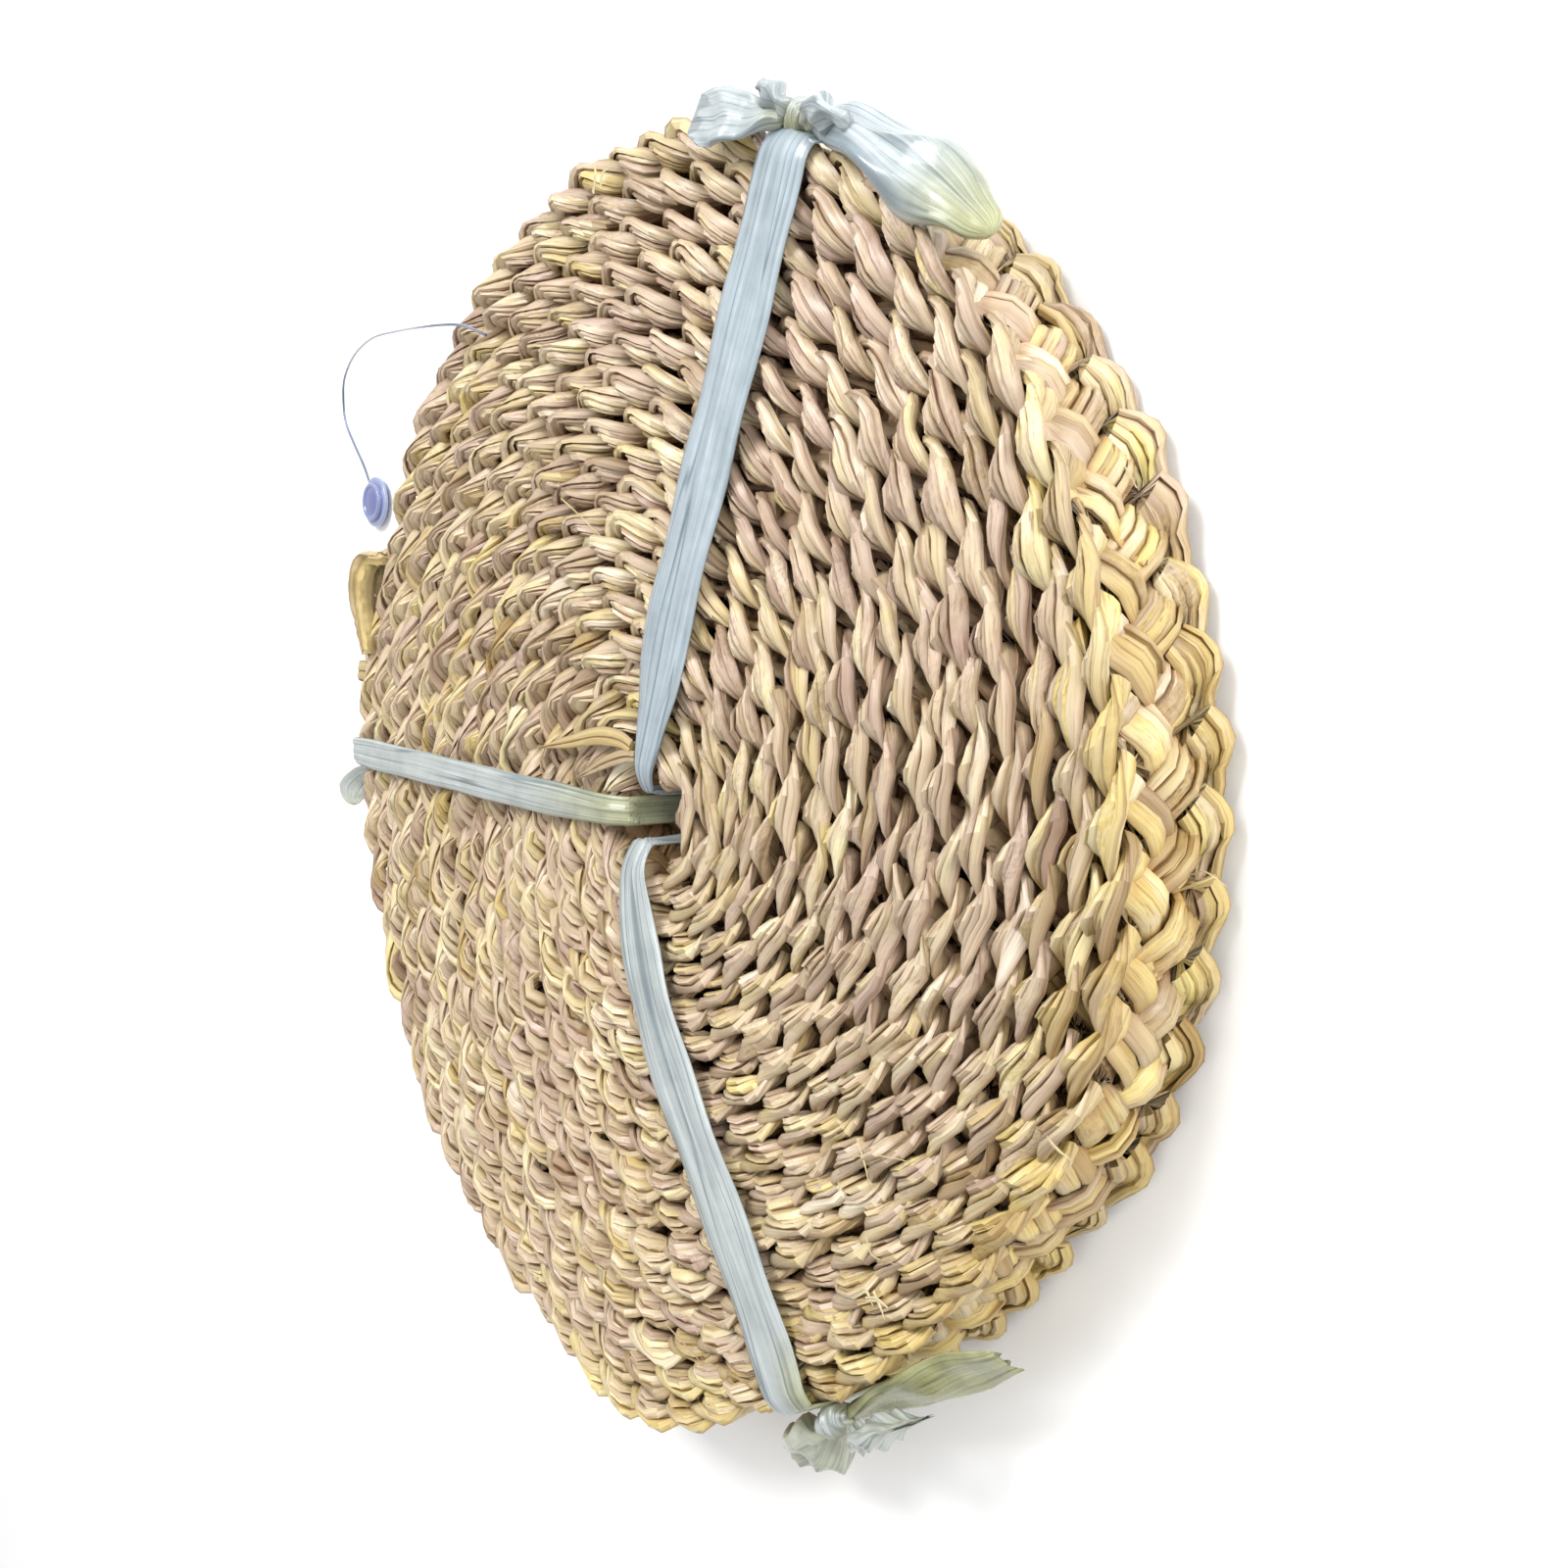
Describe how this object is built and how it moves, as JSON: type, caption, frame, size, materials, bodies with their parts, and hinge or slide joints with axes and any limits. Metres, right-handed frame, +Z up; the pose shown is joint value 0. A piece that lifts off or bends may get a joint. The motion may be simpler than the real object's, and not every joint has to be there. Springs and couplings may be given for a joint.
{
  "type": "seat pad",
  "caption": "Round flat seat pad coiled from one long plait of dried rush leaves, held shut by strips of thin plastic film tied through its centre hole, with a hang tag.",
  "frame": {"origin": "on the surface that the pad lies on, under the middle of the pad's outline, the tag left out", "axes": "+Z is up, the way the pad's visible face looks; the narrow tie runs to the rim close to -X and the bow's tie towards +X+Y; the plait winds outwards clockwise as seen from +Z"},
  "size_m": [0.4337, 0.3618, 0.0528],
  "materials": {
    "dried_rush": "dry plaited leaf, faintly glossy along the leaf",
    "tie_film": "thin crumpled packing film",
    "clear_filament": "clear extruded filament",
    "tinted_seal": "tinted clear moulded plastic"
  },
  "bodies": {
    "pad": {"plait_turn_01": "dried_rush", "plait_turn_02": "dried_rush", "plait_turn_03": "dried_rush", "plait_turn_04": "dried_rush", "plait_turn_05": "dried_rush", "plait_turn_06": "dried_rush", "plait_turn_07": "dried_rush", "plait_turn_08": "dried_rush", "plait_turn_09": "dried_rush", "plait_turn_10": "dried_rush", "plait_turn_11": "dried_rush", "plait_turn_12": "dried_rush", "plait_turn_13": "dried_rush", "plait_turn_14": "dried_rush", "plait_turn_15": "dried_rush", "plait_turn_16": "dried_rush", "plait_turn_17": "dried_rush", "plait_outer_end": "dried_rush", "start_leaf_long": "dried_rush", "start_leaf_short": "dried_rush", "loose_leaf_end": "dried_rush", "bow_tie_band": "tie_film", "bow_tie_knot": "tie_film", "bow_tie_long_loop": "tie_film", "bow_tie_short_loop": "tie_film", "bow_tie_stub_loop": "tie_film", "bow_tie_tails": "tie_film", "knotted_tie_band": "tie_film", "knotted_tie_knot": "tie_film", "knotted_tie_wide_tail": "tie_film", "knotted_tie_frayed_tail": "tie_film", "knotted_tie_crumpled_loop": "tie_film", "side_tie_band": "tie_film", "side_tie_knot": "tie_film", "side_tie_tail": "tie_film"},
    "tag": {"tag_filament": "clear_filament", "tag_seal": "tinted_seal"}
  },
  "joints": [
    {"name": "tag_swing", "type": "hinge", "parent": "pad", "child": "tag", "pos_m": [-0.051, 0.14415, 0.0424], "axis": [0, 0, 1], "range_deg": [-10, 10]}
  ]
}
